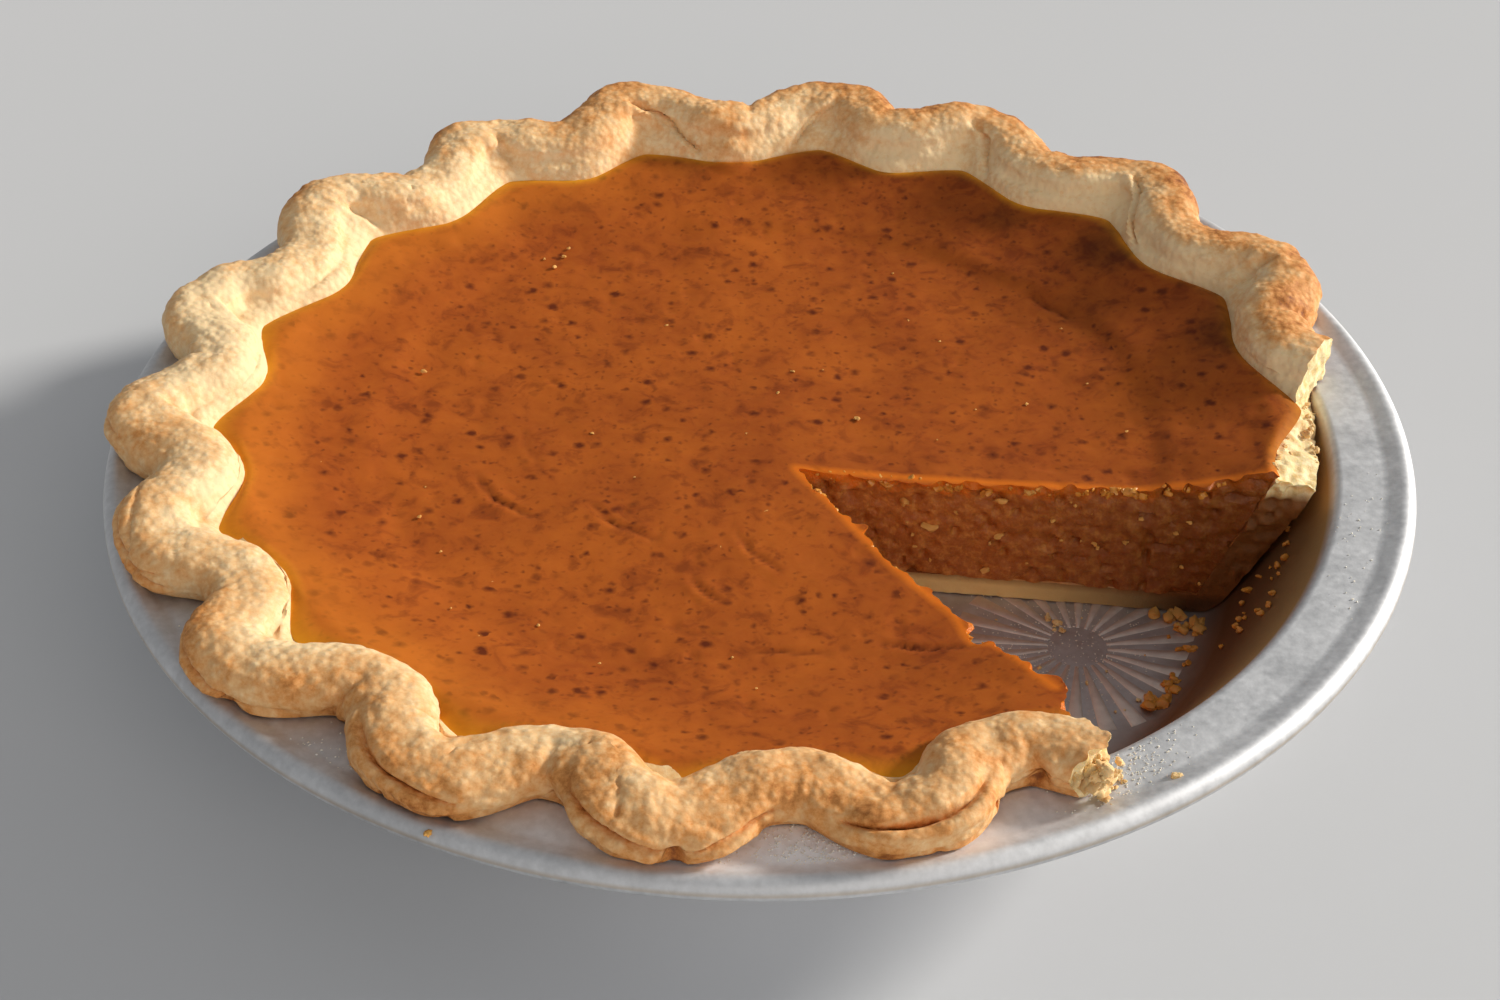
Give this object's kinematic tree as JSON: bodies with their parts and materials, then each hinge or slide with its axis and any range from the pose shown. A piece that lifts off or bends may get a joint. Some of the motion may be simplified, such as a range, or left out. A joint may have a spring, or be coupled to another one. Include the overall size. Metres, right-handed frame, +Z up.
{
  "type": "pumpkin pie",
  "caption": "Baked pumpkin pie with a hand-fluted pastry rim, in a round aluminium pie tin with a rolled edge, with one slice taken out down to the floor of the tin.",
  "frame": {"origin": "middle of the flat underside of the tin, on the ground it stands on", "axes": "+Z up, along the axis of the tin; the missing slice opens toward +X and -Y; the camera of the picture looks along +Y"},
  "size_m": [0.258, 0.258, 0.0465],
  "materials": {
    "tin": "satin",
    "crust": "matte",
    "filling": "satin"
  },
  "bodies": {
    "root": {"tin": "tin", "crust": "crust", "filling": "filling"}
  },
  "joints": []
}
